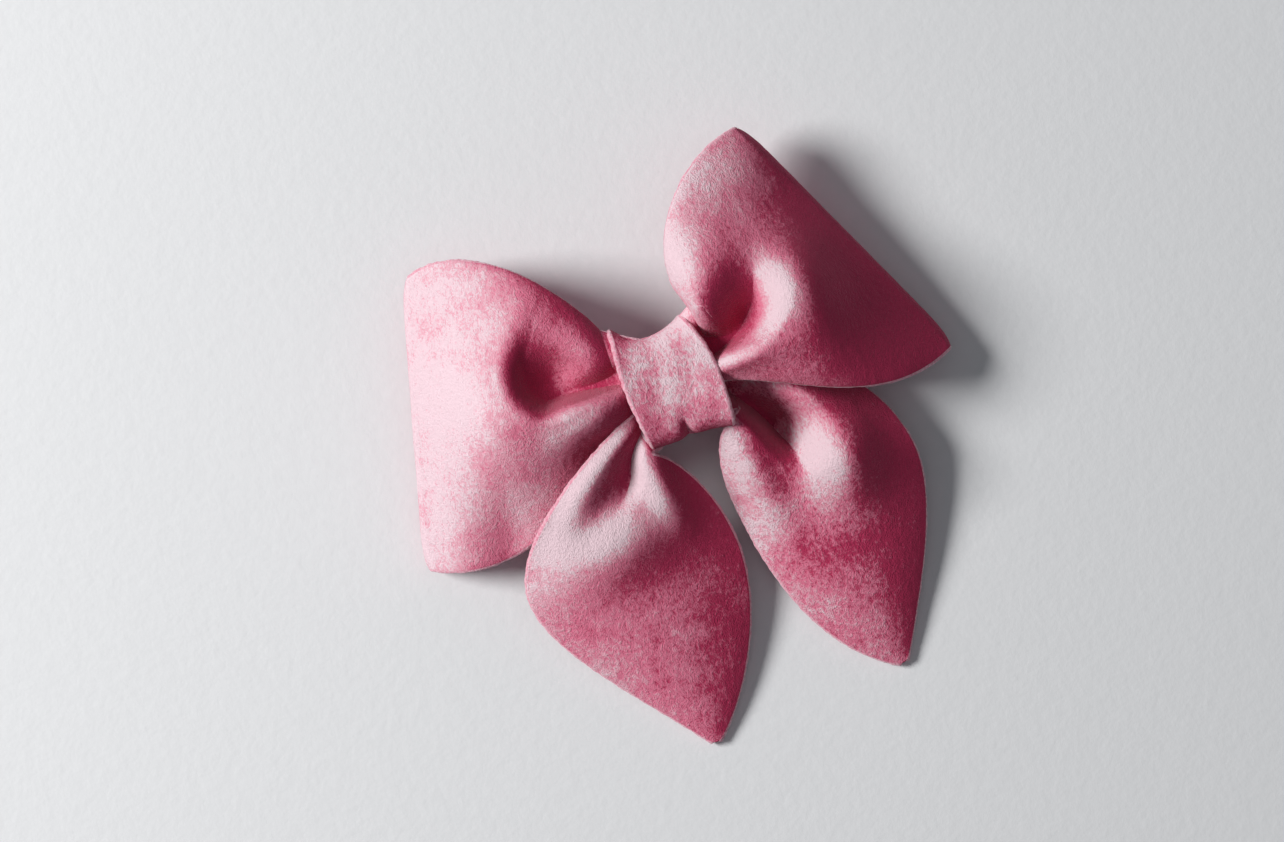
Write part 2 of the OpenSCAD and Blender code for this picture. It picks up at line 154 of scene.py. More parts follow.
def crushed(points, seed):
    """Crushed pile: broad bruises, streaks that run up the bow, and a fine grain."""
    bruise = mottle(points, (7, 9, 7), seed)
    streak = mottle(points, (1.1, 2.6, 1.1), seed + 1)
    tuft = mottle(points, (0.75, 1.2, 0.75), seed + 2)
    return 0.07 * bruise + 0.025 * streak + 0.028 * tuft


def beside(x, y, points):
    """For each point in plan: the share along a smooth line of its nearest place, and the distance to
    it, which is positive on the left of the line's direction of travel."""
    k = np.linspace(0, 1, SPINE_STEPS)
    spine = threaded(points, k)
    speed = np.gradient(spine, k, axis=0)
    pace = np.linalg.norm(speed, axis=1)
    run = speed / pace[:, None]
    flat = np.stack([x.ravel(), y.ravel()], axis=1)
    nearest = np.argmin(((flat[:, None, :] - spine[None, :, :]) ** 2).sum(axis=2), axis=1)
    away = flat - spine[nearest]
    along = (away * run[nearest]).sum(axis=1)
    left = run[nearest, 0] * away[:, 1] - run[nearest, 1] * away[:, 0]
    ends = (nearest == 0) | (nearest == len(k) - 1)
    distance = np.where(ends, np.linalg.norm(away, axis=1), np.abs(left)) * np.sign(left)
    return clamp(k[nearest] + along / pace[nearest]).reshape(x.shape), distance.reshape(x.shape)


def crease(x, y, points, left, right, depth, sharp=(1.6, 1.6), fade=0.3):
    """Depth of a pinched valley along a smooth line: at its nearest place the valley has a width on
    each side that grows from the first to the second number of left and right, a bottom that is
    flatter on a side the larger that side's number in sharp is, and a depth that grows from
    depth's first to its second number and fades out over the last share of the line."""
    k, d = beside(x, y, points)
    grown = ease(0, 0.8, k)
    wide = np.where(d > 0, left[0] + (left[1] - left[0]) * grown,
                    right[0] + (right[1] - right[0]) * grown)
    power = np.where(d > 0, sharp[0], sharp[1])
    deep = depth[0] + (depth[1] - depth[0]) * ease(0, 0.6, k)
    tail_end = 0.07      # the bell's far slope, cut off so that the valley ends
    fall = clamp((np.exp(-np.abs(d / wide) ** power) - tail_end) / (1 - tail_end))
    return deep * fall * (1 - ease(1 - fade, 0.99, k))


def swell(x, y, centre, reach, height, turn=0.0):
    """A soft rounded rise: a bell of the given height and reach in plan, turned by an angle."""
    c, s = math.cos(math.radians(turn)), math.sin(math.radians(turn))
    dx, dy = x - centre[0], y - centre[1]
    across = (dx * c + dy * s) / reach[0]
    along = (-dx * s + dy * c) / reach[1]
    return height * np.exp(-(across**2 + along**2))


# ---------------------------------------------------------------- meshes

def grid_normals(points, ring):
    """Normals of a grid of points from its central differences; ring joins the last row to the first."""
    if ring:
        along = np.roll(points, -1, axis=0) - np.roll(points, 1, axis=0)
    else:
        along = np.gradient(points, axis=0)
    across = np.gradient(points, axis=1)
    normal = np.cross(along, across)
    return normal / np.maximum(np.linalg.norm(normal, axis=2), 1e-9)[..., None]


def new_piece(name, verts, faces, materials, slots):
    """A mesh object at the origin from vertices in millimetres, arrays of faces that each have one
    number of corners, and one array of material numbers for each of them."""
    mesh = bpy.data.meshes.new(name)
    verts = np.asarray(verts, float) * MM
    corners = np.concatenate([np.asarray(f, np.int32).ravel() for f in faces])
    counts = np.concatenate([np.full(len(f), f.shape[1]) for f in faces])
    mesh.vertices.add(len(verts))
    mesh.vertices.foreach_set("co", verts.ravel())
    mesh.loops.add(len(corners))
    mesh.loops.foreach_set("vertex_index", corners)
    mesh.polygons.add(len(counts))
    mesh.polygons.foreach_set("loop_start", (np.cumsum(counts) - counts).astype(np.int32))
    mesh.polygons.foreach_set("material_index", np.concatenate(slots).astype(np.int32))
    mesh.update(calc_edges=True)
    mesh.validate()
    mesh.shade_smooth()
    piece = bpy.data.objects.new(name, mesh)
    bpy.context.scene.collection.objects.link(piece)
    for material in materials:
        mesh.materials.append(material)
    return piece


def mark(piece, name, values):
    """A number for each vertex that the velvet's material reads."""
    layer = piece.data.attributes.new(name, "FLOAT", "POINT")
    layer.data.foreach_set("value", np.asarray(values, np.float32))


def cut_sheet(name, centre, thick, ring, seed, materials, crush, frost_and_painted_light, back_share=3):
    """A thick velvet sheet about a grid of mid-surface points. Each row becomes a closed profile: the
    pile side, a rounded cut edge, the backing side with fewer columns, and the other cut edge. The pile
    side is pushed out and in by the crushed-pile noise. An open sheet's two ends are each closed
    by a fan of triangles to the end's middle. Crush and frost give the pile's two marks from a
    point's place: crush is how mottled the pile is, and frost holds its frosted patches together with
    painted highlights and painted shade."""
    normal = grid_normals(centre, ring)
    thick = np.broadcast_to(np.asarray(thick, float).reshape(-1, 1), centre.shape[:2])
    side = np.cross(normal, (np.roll(centre, -1, axis=0) - np.roll(centre, 1, axis=0)) if ring
                    else np.gradient(centre, axis=0))
    side /= np.maximum(np.linalg.norm(side, axis=2), 1e-9)[..., None]
    outward = np.sign((np.gradient(centre, axis=1) * side).sum(axis=2).mean())
    side *= outward
    half = thick[..., None] / 2
    nap = crushed(centre, seed)
    tufts = mottle(centre, 0.8, seed + 5)
    pile = centre + normal * (half + nap[..., None])
    columns = centre.shape[1]
    picks = np.unique(np.linspace(0, columns - 1, max(2, columns // back_share)).astype(int))
    back = (centre - normal * half)[:, picks[::-1]]

    def rim(column, sign, angles):
        """Rows round one cut edge: half an ellipse about the edge, ragged by the tufts."""
        rows = []
        for a in angles:
            reach = half[:, column] * math.cos(a) * (0.9 + 0.22 * tufts[:, column, None])
            rows.append(centre[:, column] + sign * side[:, column] * reach
                        + normal[:, column] * (half[:, column] + nap[:, column, None]) * math.sin(a))
        return np.stack(rows, axis=1)

    turns = np.linspace(math.pi / 2, -math.pi / 2, EDGE_STEPS + 2)[1:-1]
    high_rim = rim(-1, 1, turns)
    low_rim = rim(0, -1, turns[::-1])
    profile = np.concatenate([pile, high_rim, back, low_rim], axis=1)
    n, m = profile.shape[:2]
    kind = np.concatenate([np.zeros(columns - 1), np.full(EDGE_STEPS + 1, 1),
                           np.full(len(picks) - 1, 2), np.full(EDGE_STEPS + 1, 1)])
    rows = n if ring else n - 1
    i, j = np.meshgrid(np.arange(rows), np.arange(m), indexing="ij")
    i2, j2 = (i + 1) % n, (j + 1) % m
    quads = np.stack([i * m + j, i2 * m + j, i2 * m + j2, i * m + j2], axis=-1).reshape(-1, 4)
    slots = np.broadcast_to(kind, (rows, m)).reshape(-1)
    verts = profile.reshape(-1, 3)
    faces, kinds = [quads], [slots]
    if not ring:
        for row in (0, n - 1):
            verts = np.vstack([verts, verts[row * m:(row + 1) * m].mean(axis=0)])
            around = row * m + np.arange(m)
            cap = np.stack([around, np.roll(around, -1), np.full(m, len(verts) - 1)], axis=1)
            faces.append(cap[:, ::-1] if row == 0 else cap)
            kinds.append(np.ones(m))
    piece = new_piece(name, verts, faces, materials, kinds)
    face_outwards(piece)
    place = np.zeros(len(piece.data.vertices) * 3)
    piece.data.vertices.foreach_get("co", place)
    x, y, z = place.reshape(-1, 3).T / MM
    mark(piece, "crush", crush(x, y))
    mark(piece, "frost_and_painted_light", frost_and_painted_light(x, y, z))
    return piece


def face_outwards(piece):
    """Turn a closed mesh's faces outward."""
    work = bmesh.new()
    work.from_mesh(piece.data)
    bmesh.ops.recalc_face_normals(work, faces=work.faces)
    if work.calc_volume(signed=True) < 0:
        bmesh.ops.reverse_faces(work, faces=work.faces)
    work.to_mesh(piece.data)
    work.free()


# ---------------------------------------------------------------- shader sums

class Sum:
    """A socket in a material that ordinary sums can be written with."""

    def __init__(self, sheet, socket):
        self.sheet, self.socket = sheet, socket

    def _math(self, operation, *values):
        return self.sheet.node("ShaderNodeMath", {"operation": operation}, *values)

    def __add__(self, other):
        return self._math("ADD", self, other)

    def __sub__(self, other):
        return self._math("SUBTRACT", self, other)

    def __rsub__(self, other):
        return self._math("SUBTRACT", other, self)

    def __mul__(self, other):
        return self._math("MULTIPLY", self, other)

    __radd__ = __add__
    __rmul__ = __mul__


class Finish:
    """One material's node tree, with a single method that makes any node."""

    def __init__(self, name):
        self.material = bpy.data.materials.new(name)
        self.material.use_nodes = True
        self.tree = self.material.node_tree
        self.shader = self.tree.nodes["Principled BSDF"]
        self.place = self.node("ShaderNodeTexCoord", {}, output="Object")

    def node(self, kind, settings, *values, output=0, at=None, **named):
        """Any node: its settings first, a ramp's stops among them, and then the values or links of its
        sockets, given in order, by number in at, or by name. The result is one of its outputs."""
        made = self.tree.nodes.new(kind)
        for key, value in settings.items():
            if key == "stops":
                ramp = made.color_ramp
                ramp.interpolation = "EASE"
                for k, (along, colour) in enumerate(value):
                    stop = ramp.elements[k] if k < 2 else ramp.elements.new(along)
                    stop.position, stop.color = along, (*colour, 1)
            else:
                setattr(made, key, value)
        for key, value in [*enumerate(values), *(at or {}).items(), *named.items()]:
            self.plug(made.inputs[key if isinstance(key, int) else key.replace("_", " ")], value)
        return Sum(self, made.outputs[output])

    def plug(self, socket, value):
        """Link a sum to a socket, or give the socket a plain value."""
        if isinstance(value, Sum):
            self.tree.links.new(value.socket, socket)
        else:
            socket.default_value = value

    def set(self, **values):
        """Values or links for the sockets of the finish's own shader, by name."""
        for key, value in values.items():
            self.plug(self.shader.inputs[key.replace("_", " ")], value)

    def noise(self, per_m, detail=2.0, rough=0.5, squeeze=(1, 1, 1), shift=(0, 0, 0), distort=0.0):
        """Soft random cloud with so many cells to a metre, drawn out along an axis squeezed below 1."""
        where = self.node("ShaderNodeMapping", {}, self.place, Scale=squeeze, Location=shift)
        return self.node("ShaderNodeTexNoise", {}, Vector=where, Scale=per_m, Detail=detail,
                         Roughness=rough, Distortion=distort)

    def window(self, value, low, high):
        """A smooth step from 0 at low to 1 at high."""
        return self.node("ShaderNodeMapRange", {"interpolation_type": "SMOOTHSTEP"}, value,
                         From_Min=low, From_Max=high)

    def blend(self, share, first, second):
        """The first colour where share is 0 and the second where it is 1."""
        return self.node("ShaderNodeMix", {"data_type": "RGBA"}, output=2,
                         at={0: share, 6: (*first, 1), 7: (*second, 1)})

    def relief(self, height, depth, strength=1.0):
        """A surface normal roughened by a height, whose full range is depth in metres."""
        return self.node("ShaderNodeBump", {}, Strength=strength, Distance=depth, Height=height)


# The pile's tones from deep rose to frosted pale; the darkest also serves as painted shade and the palest
# as painted highlight
DEEP_AND_PAINTED_SHADE = (0.50, 0.040, 0.110)
ROSE = (0.77, 0.205, 0.315)
BLUSH = (0.80, 0.38, 0.47)
SHELL_AND_PAINTED_HIGHLIGHT = (0.83, 0.62, 0.68)
LIGHT_FROM = Vector((-0.74, 0.34, 0.58)).normalized()     # where the window light comes from: cloth that faces it is painted paler, and cloth that faces away darker


def velvet_pile():
    """Crushed rose velvet with broad bruises and small flecks that run up the bow. Its colour has
    painted light in it: it is painted paler where upward-facing cloth turns to the window light and
    darker where it turns away, and it takes the frost mark's painted highlights and painted shade."""
    f = Finish("velvet_pile")
    bruise = f.noise(130, detail=4, rough=0.6, shift=(3, 1, 2))
    fleck = f.noise(1400, detail=4, rough=0.7, squeeze=(1, 0.62, 1), distort=0.3)
    grain = f.noise(3600, detail=2, rough=0.6, squeeze=(1, 0.7, 1))
    crush = f.node("ShaderNodeAttribute", {"attribute_name": "crush"}, output="Fac")
    frost_and_painted_light = f.node("ShaderNodeAttribute", {"attribute_name": "frost_and_painted_light"}, output="Fac")
    facing = f.node("ShaderNodeNewGeometry", {}, output="Normal")
    lean = f.node("ShaderNodeVectorMath", {"operation": "DOT_PRODUCT"}, facing, tuple(LIGHT_FROM), output="Value")
    mottled = (fleck - 0.5) * (0.35 + 1.3 * crush) + (bruise - 0.5) * (0.35 + 1.1 * crush) \
        + (grain - 0.5) * 0.75
    up = f.node("ShaderNodeSeparateXYZ", {}, facing, output="Z")
    # Mid rose, painted paler where upward-facing cloth turns to the light and darker where it turns away,
    # then moved by the frost mark's frosted patches, painted highlights and painted shade, and by the
    # mottling
    brushed_and_painted_light = 0.45 + (lean * 1.2 - 0.65) * f.window(up, -0.3, 0.25) + frost_and_painted_light + mottled
    stops = [(0.0, DEEP_AND_PAINTED_SHADE), (1.0, SHELL_AND_PAINTED_HIGHLIGHT), (0.45, ROSE), (0.74, BLUSH)]
    colour = f.node("ShaderNodeValToRGB", {"stops": stops}, brushed_and_painted_light, output="Color")
    height = fleck * 0.5 + grain * 0.5
    f.set(Base_Color=colour, Roughness=0.95, Sheen_Weight=0.35, Sheen_Roughness=0.35,
          Sheen_Tint=(1.0, 0.78, 0.84, 1), Specular_IOR_Level=0.04,
          Normal=f.relief(height, 0.0009, 0.75))
    return f.material


def velvet_edge():
    """The clean cut through the velvet, where the pale backing and the pile's roots show."""
    f = Finish("velvet_cut_edge")
    fray = f.noise(1900, detail=3, rough=0.6)
    colour = f.blend(f.window(fray, 0.35, 0.65), (0.72, 0.26, 0.36), (0.82, 0.48, 0.56))
    f.set(Base_Color=colour, Roughness=0.95, Sheen_Weight=0.6, Sheen_Roughness=0.5,
          Sheen_Tint=(1.0, 0.9, 0.92, 1), Specular_IOR_Level=0.1, Normal=f.relief(fray, 0.0004, 0.8))
    return f.material


def velvet_backing():
    """The knitted back of the velvet: fine ribs crossed by smaller stitches."""
    f = Finish("velvet_backing")
    ribs = f.node("ShaderNodeTexWave", {"wave_type": "BANDS", "bands_direction": "X"},
                  f.place, Scale=420.0, Distortion=1.2, Detail=1.0)
    stitches = f.node("ShaderNodeTexWave", {"wave_type": "BANDS", "bands_direction": "Y"},
                      f.place, Scale=560.0, Distortion=1.5, Detail=1.0)
    knit = ribs * 0.6 + stitches * 0.4
    colour = f.blend(knit, (0.50, 0.16, 0.24), (0.70, 0.32, 0.40))
    f.set(Base_Color=colour, Roughness=0.85, Sheen_Weight=0.3, Sheen_Roughness=0.5,
          Specular_IOR_Level=0.2, Normal=f.relief(knit, 0.0002, 0.6))
    return f.material


pile, cut, backing = velvet_pile(), velvet_edge(), velvet_backing()
cloth = [pile, cut, backing]


# ---------------------------------------------------------------- the bow's outlines

LOOP_WAIST, LEFT_LOOP_NECK, RIGHT_LOOP_NECK = (-1.8, 6.4), (-2.8, 14.0), (-3.6, 12.0)
TAIL_WAIST, LEFT_TAIL_NECK, RIGHT_TAIL_NECK = (-8.2, -2.4), (-12.0, -3.6), (-10.8, -4.2)


def straight(a, b):
    """A straight line from a to b, as a cubic curve."""
    a, b = np.asarray(a, float), np.asarray(b, float)
    return [a, a + (b - a) / 3, a + (b - a) * 2 / 3, b]


def neck_line(side, waist_y, neck_y):
    """An edge under the wrap: from the waist at the bow's middle out to the end of the neck."""
    return straight((0, waist_y), (side * NECK, neck_y))


# Each outline is a lower or inner edge and an upper or outer edge, and each edge is a chain of cubic
# curves that starts with its line under the wrap.
LEFT_LOOP = [[neck_line(-1, LOOP_WAIST[0], LEFT_LOOP_NECK[0]),
              [(-NECK, LEFT_LOOP_NECK[0]), (-24, -13.6), (-41, -26), (-58.4, -16.2)]],
             [neck_line(-1, LOOP_WAIST[1], LEFT_LOOP_NECK[1]),
              [(-NECK, LEFT_LOOP_NECK[1]), (-13, 23), (-26, 42), (-39.6, 38.8)]]]
RIGHT_LOOP = [[neck_line(1, LOOP_WAIST[0], RIGHT_LOOP_NECK[0]),
               [(NECK, RIGHT_LOOP_NECK[0]), (22, -7.5), (36, -22), (53.2, -15.7)]],
              [neck_line(1, LOOP_WAIST[1], RIGHT_LOOP_NECK[1]),
               [(NECK, RIGHT_LOOP_NECK[1]), (3.6, 20.5), (14.5, 38.5), (30.6, 40.4)]]]
LEFT_TAIL = [[neck_line(-1, TAIL_WAIST[0], LEFT_TAIL_NECK[0]),
              [(-NECK, LEFT_TAIL_NECK[0]), (-7, -14), (-1.2, -21), (-0.8, -34)],
              [(-0.8, -34), (-0.6, -46), (-8.5, -61), (-19.4, -70.4)]],
             [neck_line(-1, TAIL_WAIST[1], LEFT_TAIL_NECK[1]),
              [(-NECK, LEFT_TAIL_NECK[1]), (-24, -10), (-42.5, -19), (-42.8, -30)],
              [(-42.8, -30), (-43, -42), (-28, -58), (-20.6, -70.2)]]]
RIGHT_TAIL = [[neck_line(1, TAIL_WAIST[0], RIGHT_TAIL_NECK[0]),
               [(NECK, RIGHT_TAIL_NECK[0]), (5.0, -12.8), (1.9, -18), (2.6, -28)],
               [(2.6, -28), (3, -46), (8, -62), (20.4, -70.4)]],
              [neck_line(1, TAIL_WAIST[1], RIGHT_TAIL_NECK[1]),
               [(NECK, RIGHT_TAIL_NECK[1]), (22, -10), (38.4, -18), (39.2, -31)],
               [(39.2, -31), (39.5, -43), (29, -58), (21.6, -70.2)]]]

PLEATS = 1.3                       # thickness that the pressed pleats add at the waist
BACK_WAIST = CLIP_TOP + 2.3        # height of the loops' back layer at the bow's middle
OVER_CLIP = BACK_WAIST - 5.44      # the same over the clip's ends
FOLD_MID = FLOOR + 3.45            # the same at the fold
FOLD_REACH = 57                    # how far out the fold lies
BACK_DROOP = 0.0012                # how fast the back layer falls towards its upper and lower edges
WAIST_GAP = PILE + PLEATS + 0.3    # height of the face over the back, at the waist
NECK_GAP = WAIST_GAP + 2.4         # the same where the loop leaves the wrap
FOLD_GAP = 3.4                     # the same at the fold
PUFF = 8.5                         # how much more the loop's belly rises
MOUTH = 0.5                        # share of the belly's rise that is left at the open edges
FACE_REST = 0.4                    # clearance of a pressed-down face over the back
CORNER = 0.85                      # how much of the fold's nose its two corners lose
# The fold's rounded nose: reach in halves of the gap and lift in gaps, from the face to the back
FOLD_NOSE = [(0, 1), (0.85, 0.74), (1.25, 0.02), (0, 0)]


def pleated(x):
    """Thickness of the velvet, which grows under the wrap where its pleats are pressed together."""
    return PILE + PLEATS * np.exp(-(x / 4.5) ** 2)


def back_height(x, y):
    """The loops' back layer: bowed down to just over the clip's ends, and from there to the fold."""
    d = np.abs(x) - CLIP_HALF
    slope = 2 * (BACK_WAIST - OVER_CLIP) / CLIP_HALF
    past = FOLD_REACH - CLIP_HALF
    bend = (OVER_CLIP - slope * past - FOLD_MID) / past**2
    near = BACK_WAIST - (BACK_WAIST - OVER_CLIP) * (x / CLIP_HALF) ** 2
    far = OVER_CLIP - slope * d - bend * d * d
    return np.where(d < 0, near, far) - BACK_DROOP * y * y


def loop_gap(s, v):
    """Height of a loop's face over its back: a lens at the neck, a belly beyond it, and the fold."""
    k = clamp(s - 1)
    lens = NECK_GAP * (1 - 0.3 * (2 * v - 1) ** 4)
    neck = WAIST_GAP + (lens - WAIST_GAP) * clamp(s)
    belly = np.sin(math.pi * k) * (MOUTH + (1 - MOUTH) * np.sin(math.pi * v) ** 0.7)
    return neck + (FOLD_GAP - neck) * k + PUFF * belly


def left_loop_hollow(x, y):
    """Depth of the left loop's hollow: a deep bowl behind a crisp lower lip, and a channel to the knot."""
    wall = beside(x, y, [(-4, 0.7), (-10, 1.2), (-18.8, 2.2), (-26.0, 2.4), (-30.2, 7.5),
                         (-29.8, 14), (-25, 21), (-16, 29)])[1]
    bowl = swell(x, y, (-21.5, 8.5), (8.0, 8.5), 10.0) + swell(x, y, (-13, 3.4), (9.0, 3.0), 6.6, 2)
    return ease(-1.4, 3.6, -wall) * bowl


def right_loop_hollow(x, y):
    """Depth of the right loop's hollow: a pinched valley that runs from the knot and turns up the loop."""
    bottom = [(5, 0.7), (9.5, 1.7), (14, 2.6), (17.8, 4.8), (20.9, 8.4), (22.9, 13.6), (24.2, 20.5)]
    return crease(x, y, bottom, left=(4.8, 7.0), right=(1.7, 4.2), depth=(8.5, 10.0),
                  sharp=(1.9, 1.5), fade=0.5)


def loop_face_moves(side, x, y, s):
    """How the face of a loop is pinched and swollen by hand: its hollow and the bumps beside it."""
    free = ease(0.55, 0.95, s)
    if side < 0:
        moves = swell(x, y, (-15, -1.4), (9, 3.0), 3.2, 8) + swell(x, y, (-36, 7), (6.5, 13), 2.0) \
            + swell(x, y, (-14, 12.5), (8, 4.5), 1.8, -30) \
            - left_loop_hollow(x, y)
    else:
        moves = swell(x, y, (31, 6.6), (7.2, 10.5), 5.4) + swell(x, y, (12, 16), (6, 8), 1.8, -30) \
            + swell(x, y, (11, -0.6), (6, 2.2), 2.6, -6) + swell(x, y, (18, -2.0), (7, 2.6), 1.0, -8) \
            + swell(x, y, (31, 36), (9, 9), 2.6) - right_loop_hollow(x, y)
    return moves * free


def loop_curl(side, s, v):
    """How far both layers of a loop's lower edge hang: on the left it tucks in beneath the tail, and
    on the right it stays up over it."""
    if side > 0:
        return 0 * s
    near = ease(1.03, 1.3, s) * (1 - ease(1.62, 1.95, s))
    return near * (2.6 * (1 - ease(0.0, 0.5, v)))


def loop_rows(side, outline, stations, columns, lift, reach):
    """Points of a loop for stations s along its edges, on its back (lift 0) or face (lift 1), with
    reach pushing a row of the fold outwards by a share of half the gap. Left of the wrap the lower
    edge is pinched shut, and a face is never pressed through its back."""
    s, v = np.meshgrid(stations, np.linspace(0, 1, columns), indexing="ij")
    low, high = chained(outline[0], s), chained(outline[1], s)
    flat = low + (high - low) * v[..., None]
    ends = chained(outline[1], np.array([2.0]))[0] - chained(outline[0], np.array([2.0]))[0]
    away = np.array([ends[1], -ends[0]]) / np.linalg.norm(ends) * side
    gap = loop_gap(s, v)
    lift = np.broadcast_to(np.asarray(lift, float).reshape(-1, 1), s.shape)
    reach = np.broadcast_to(np.asarray(reach, float).reshape(-1, 1), s.shape)
    rounded = 1 - CORNER * np.abs(2 * v - 1) ** 14
    plan = flat + away * (reach * gap / 2 * rounded)[..., None]
    moved = loop_face_moves(side, plan[..., 0], plan[..., 1], s)
    base = back_height(flat[..., 0], flat[..., 1]) - loop_curl(side, s, v)
    pinch = 0.6 * ease(0.6, 0.98, s) * (1 - ease(1.66, 1.95, s)) * (1 - ease(0, 0.5, v)) * (side < 0)
    z = base + lift * (gap * (1 - pinch) + moved)
    soft = 0.8 * ease(0.9, 1.2, s) * ease(2, 1.8, s)
    z = np.where(lift > 0.99, smooth_max(z, base + PILE + FACE_REST, soft), z)
    return np.concatenate([plan, z[..., None]], axis=-1)


def loop_side(side, outline, columns, face_steps, back_steps, fold_steps):
    """One loop from the waist over its face, round the fold and along its back to the waist."""
    out = np.linspace(0, 1, face_steps // 5 + 1)[1:]
    face = np.concatenate([out, 1 + np.linspace(0, 1, face_steps + 1)[1:]])
    back = np.concatenate([np.linspace(0, 1, back_steps // 5 + 1)[1:],
                           1 + np.linspace(0, 1, back_steps + 1)[1:]])[::-1]
    nose = bend_through(FOLD_NOSE, np.arange(1, fold_steps) / fold_steps)
    stations = np.concatenate([face, np.full(len(nose), 2.0), back])
    lift = np.concatenate([np.ones(len(face)), nose[:, 1], np.zeros(len(back))])
    reach = np.concatenate([np.zeros(len(face)), nose[:, 0], np.zeros(len(back))])
    return loop_rows(side, outline, stations, columns, lift, reach), stations * NECK


def make_loops():
    """The loop band: one closed ring of velvet, its pile outside."""
    steps = dict(columns=136, face_steps=150, back_steps=44, fold_steps=14)
    right, right_x = loop_side(1, RIGHT_LOOP, **steps)
    left, left_x = loop_side(-1, LEFT_LOOP, **steps)
    top = loop_rows(1, RIGHT_LOOP, np.array([0.0]), steps["columns"], 1, 0)
    under = loop_rows(1, RIGHT_LOOP, np.array([0.0]), steps["columns"], 0, 0)
    rows = np.concatenate([top, right, under, left[::-1]])
    thick = pleated(np.concatenate([[0], right_x, [0], left_x[::-1]]))
    return cut_sheet("bow_loops", rows, thick, True, 11, cloth, back_share=4,
                     crush=lambda x, y: 0.36 + 0.1 * ease(0, 10, x),
                     frost_and_painted_light=loop_frost_and_painted_light)


TAIL_TOP = BACK_WAIST + 0.3           # height of the tails' middle at the waist
TAIL_TIP = FLOOR + PILE / 2 + 0.2     # the same at their tips


def tail_rows(side, outline, stations, columns):
    """Points of a tail: level at the neck, arched along its length, crowned across it, down to its
    tip. The left tail's outer rim rises over the loop's edge, and the right one's sinks under it."""
    s, v = np.meshgrid(stations, np.linspace(0, 1, columns), indexing="ij")
    low, high = chained(outline[0], s), chained(outline[1], s)
    k = clamp((s - 1) / 2)
    by_loop = ease(-0.02, 0.14, k) * (1 - ease(0.26, 0.5, k))
    tuck = np.array([0.0, 0.3]) if side < 0 else np.array([1.2, 2.8])
    high = high + by_loop[..., None] * tuck
    plan = low + (high - low) * v[..., None]
    x, y = plan[..., 0], plan[..., 1]
    outer, inner = clamp(2 * v - 1), clamp(1 - 2 * v)
    z = TAIL_TOP + (TAIL_TIP - TAIL_TOP) * k**1.15 + 3 * np.sin(math.pi * k**0.7) \
        - 5 * np.sin(math.pi * k) * inner**2
    if side < 0:
        rim = np.exp(-((v - 0.8) / 0.15) ** 2)
        z = z + 2.4 * ease(0.55, 0.95, s) * (1 - ease(0.08, 0.36, k)) * ease(0.35, 0.8, v)
        z = z - 4.6 * np.sin(math.pi * k) * outer**2 * ease(0.2, 0.45, k) \
            + by_loop * (1.9 * rim + 1.0 * outer)
        bottom = [(-7.5, -5.4), (-10.5, -7.4), (-13.0, -11), (-15.0, -15), (-18.5, -18.5), (-24, -22)]
        dent = crease(x, y, bottom, left=(1.3, 1.9), right=(2.4, 5.6), depth=(1.8, 2.6),
                      sharp=(1.7, 1.4), fade=0.5)
        lift = swell(x, y, (-22, -26), (14, 7), 4.2, 8) + swell(x, y, (-10.2, -17), (3.0, 8), 3.0, 6) \
            + swell(x, y, (-25, -13), (6, 4), 1.0, 30)
    else:
        z = z - 5.0 * np.sin(math.pi * k) * outer**2 - 4.4 * by_loop * outer**2
        bottom = [(7.5, -5), (10.4, -8.4), (13.2, -13), (15.4, -18), (17.5, -23), (19, -30)]
        dent = crease(x, y, bottom, left=(4.8, 6.6), right=(1.7, 2.6), depth=(7.0, 11.0),
                      sharp=(2.4, 1.8), fade=0.5)
        lift = swell(x, y, (25.8, -28), (6.5, 8.5), 5.2, -8) + swell(x, y, (8.0, -22), (4.0, 12), 3.2, 6) \
            + swell(x, y, (24, -13), (7, 3), 1.4, -40)
    free = ease(0.6, 0.98, s)
    lowest = FLOOR + PILE / 2 + 0.05
    z = smooth_max(z + (lift - dent) * free, lowest, 0.4)
    return np.concatenate([plan, z[..., None]], axis=-1)


def tail_crush(x, y):
    """The tails are the most handled: the right one all over, the left one towards its tip."""
    return 0.3 + 0.6 * ease(-4, 6, x) + 0.35 * ease(-28, -45, y) * ease(2, -4, x)


def tail_frost_and_painted_light(x, y, z):
    """Pale patches on the tails, partly real frosting of the pile and partly painted highlight where shade
    falls, painted shade in their creases and hollows, and darker patches lower on the right tail.
    """
    return swell(x, y, (-29, -19), (14, 9), 0.42) + swell(x, y, (-17, -25), (13, 5), 0.42) \
        + swell(x, y, (-19, -10.5), (9, 3), 0.42, 30) + swell(x, y, (-10.5, -18), (3, 8), 0.36) \
        + swell(x, y, (-18, -14), (4, 5), 0.24, -40) \
        + swell(x, y, (-13, -5.6), (4.5, 2.2), 0.45, 28) \
        - swell(x, y, (-15.8, -14.0), (1.6, 4.5), 0.30, -32) \
        + swell(x, y, (24, -29), (6, 7), 0.38) + swell(x, y, (8, -33), (5, 3), 0.30) \
        + swell(x, y, (7, -19), (4, 7), 0.28) + swell(x, y, (26, -15), (7, 2.5), 0.10, -38) \
        - swell(x, y, (17.5, -13.5), (5, 5.5), 0.38, 20) \
        - swell(x, y, (12.8, -12.4), (2.4, 7.0), 0.65, 24) - swell(x, y, (16, -44), (8, 6), 0.34) \
        - swell(x, y, (31, -46), (9, 11), 0.18) - swell(x, y, (15, -58), (5, 4), 0.15)


